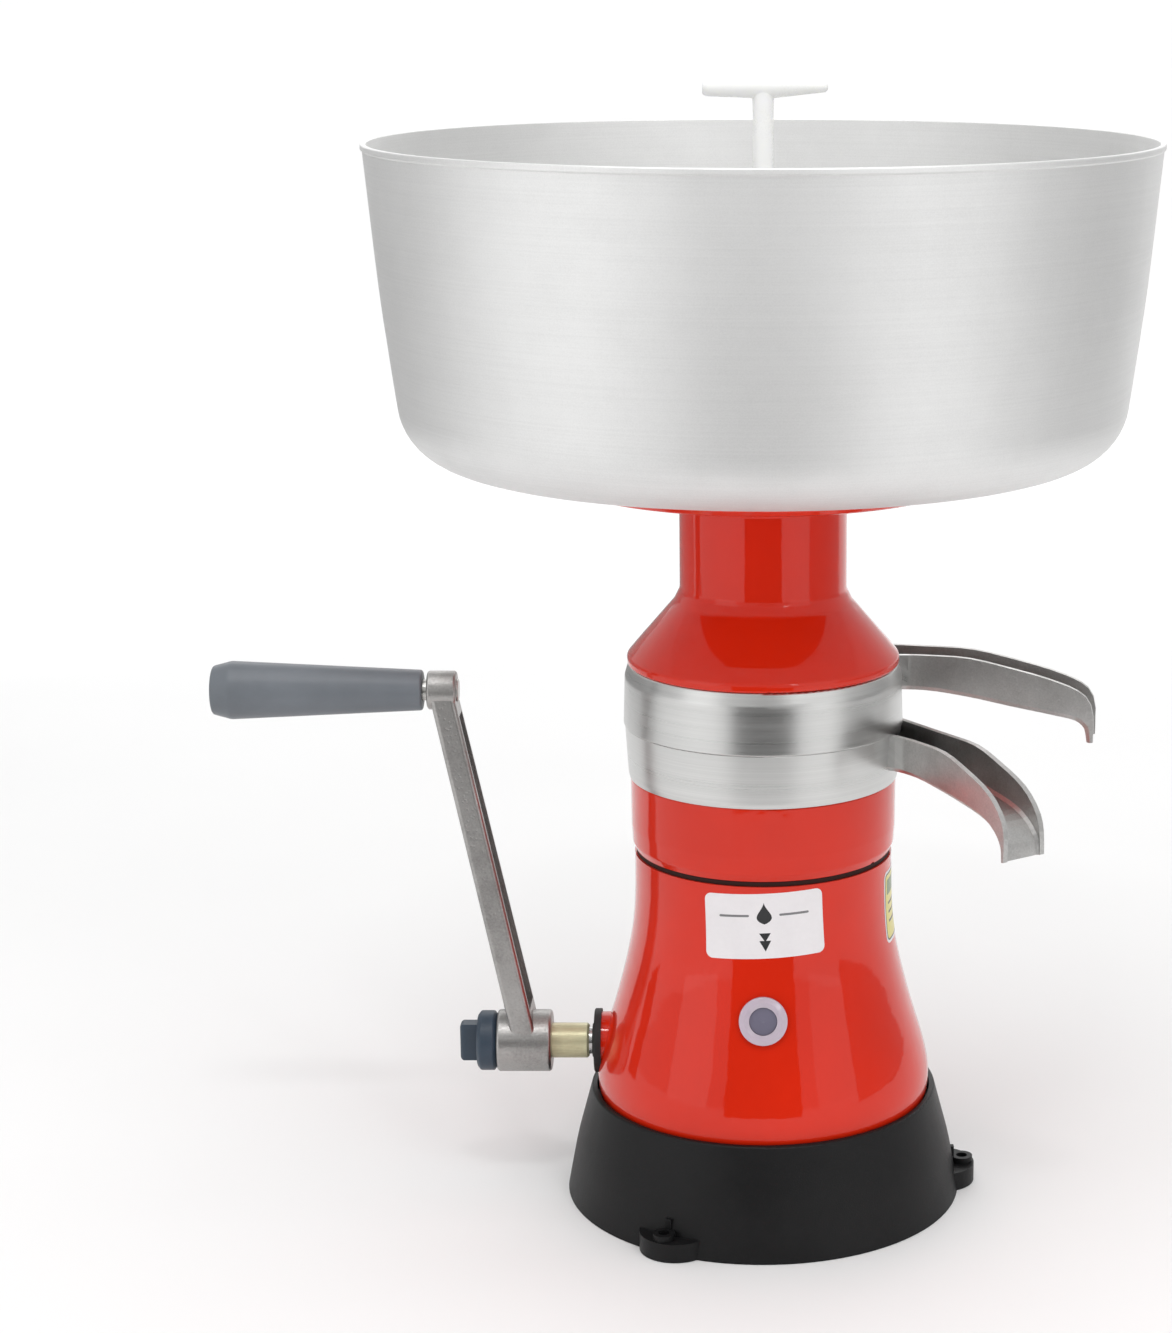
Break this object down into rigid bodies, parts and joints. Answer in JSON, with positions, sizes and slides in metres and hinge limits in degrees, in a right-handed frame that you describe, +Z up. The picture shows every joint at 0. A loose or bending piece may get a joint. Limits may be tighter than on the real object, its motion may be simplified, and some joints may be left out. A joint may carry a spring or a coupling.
{
  "type": "hand cream separator",
  "caption": "Hand-cranked centrifugal separator with a milk bowl on a red body, two swivelling aluminium spouts, a side crank with a grip, and a round stand.",
  "frame": {"origin": "on the floor, where the vertical spindle axis meets it, at the centre of the stand's screw circle", "axes": "+Z up along the spindle; -X towards the crank; -Y towards the front, where the oil plug is"},
  "size_m": [0.4413, 0.3618, 0.5356],
  "materials": {
    "black_stand": "fine-grained matte black moulding",
    "red_enamel": "glossy red enamel on cast aluminium",
    "cast_aluminium": "tumbled cast aluminium",
    "turned_aluminium": "machined and brushed cast aluminium",
    "spun_aluminium": "satin spun aluminium sheet",
    "olive_steel": "yellow-passivated steel",
    "bright_steel": "ground steel",
    "zinc_steel": "zinc-plated steel",
    "bronze": "bronze",
    "rubber_black": "moulded rubber",
    "rubber_red": "silicone rubber",
    "grey_grip": "grey moulded plastic",
    "blue_knob": "dark blue-grey moulded plastic",
    "white_plastic": "white moulded plastic",
    "clear_plastic": "translucent white plastic",
    "lens_plastic": "grey-blue plastic window",
    "white_sticker": "white paper sticker",
    "yellow_sticker": "yellow foil sticker"
  },
  "bodies": {
    "frame": {"base_stand": "black_stand", "gear_housing": "red_enamel", "sump_cover": "cast_aluminium", "sump_gasket": "rubber_black", "sump_screws": "zinc_steel", "stand_screws": "zinc_steel", "frame_screws": "zinc_steel", "casing_screws": "zinc_steel", "lower_bearing": "bright_steel", "upper_bearing": "bright_steel", "damper_ring": "rubber_black", "oil_seal": "rubber_black", "shaft_bush": "bronze", "shaft_flange": "rubber_black", "gear_frame": "cast_aluminium", "crankshaft_inner_bush": "bronze", "layshaft_bush_left": "bronze", "layshaft_bush_right": "bronze", "oil_plug": "clear_plastic", "oil_lens": "lens_plastic", "drum_casing": "red_enamel", "casing_seal": "rubber_black", "top_cover": "red_enamel", "float_chamber": "red_enamel", "feed_tube": "turned_aluminium", "front_label": "white_sticker", "side_label": "yellow_sticker"},
    "crank": {"crankshaft": "bright_steel", "shaft_sleeve": "olive_steel", "crank_arm": "cast_aluminium", "grip_pin": "zinc_steel", "crank_gear": "bright_steel", "freewheel_hub": "bright_steel", "freewheel_rollers": "bright_steel"},
    "hand_grip": {"grip": "grey_grip"},
    "knob": {"thumb_screw": "blue_knob"},
    "layshaft_train": {"layshaft": "bright_steel", "pinion": "bright_steel", "worm_wheel": "bronze"},
    "drum": {"worm_spindle": "bright_steel", "drum_base": "turned_aluminium", "disc_holder": "white_plastic", "separating_discs": "spun_aluminium", "top_disc": "spun_aluminium", "drum_cover": "turned_aluminium", "drum_seal": "rubber_red", "drum_nut": "bronze"},
    "skim": {"skim_collector": "turned_aluminium"},
    "cream": {"cream_collector": "turned_aluminium"},
    "float_valve": {"float": "white_plastic", "float_plug": "rubber_red"},
    "bowl": {"milk_bowl": "spun_aluminium", "outlet_turret": "white_plastic", "outlet_nut": "white_plastic"},
    "plug": {"valve_plug": "white_plastic"}
  },
  "joints": [
    {"name": "crank_turn", "type": "hinge", "parent": "frame", "child": "crank", "pos_m": [0, 0, 0.0735], "axis": [1, 0, 0], "continuous": true},
    {"name": "grip_spin", "type": "hinge", "parent": "crank", "child": "hand_grip", "pos_m": [-0.16, 0, 0.2495], "axis": [1, 0, 0], "continuous": true},
    {"name": "knob_turn", "type": "hinge", "parent": "crank", "child": "knob", "pos_m": [-0.1292, 0, 0.0735], "axis": [1, 0, 0], "continuous": true},
    {"name": "layshaft_spin", "type": "hinge", "parent": "frame", "child": "layshaft_train", "pos_m": [0, 0.0295, 0.11632], "axis": [1, 0, 0], "continuous": true},
    {"name": "spindle_spin", "type": "hinge", "parent": "frame", "child": "drum", "pos_m": [0, 0, 0.1], "axis": [0, 0, 1], "continuous": true},
    {"name": "skim_swivel", "type": "hinge", "parent": "frame", "child": "skim", "pos_m": [0, 0, 0.22], "axis": [0, 0, 1], "range_deg": [-60, 60]},
    {"name": "cream_swivel", "type": "hinge", "parent": "frame", "child": "cream", "pos_m": [0, 0, 0.25], "axis": [0, 0, 1], "range_deg": [-60, 60]},
    {"name": "float_rise", "type": "slide", "parent": "frame", "child": "float_valve", "axis": [0, 0, 1], "range_m": [0, 0.0035]},
    {"name": "bowl_lift", "type": "slide", "parent": "frame", "child": "bowl", "axis": [0, 0, 1], "range_m": [0, 0.08]},
    {"name": "plug_turn", "type": "hinge", "parent": "bowl", "child": "plug", "pos_m": [0, 0, 0.37], "axis": [0, 0, 1], "range_deg": [0, 90]}
  ],
  "couplings": [
    {"joint": "layshaft_spin", "follows": "crank_turn", "ratio": -6.4286},
    {"joint": "spindle_spin", "follows": "crank_turn", "ratio": -160.71}
  ]
}
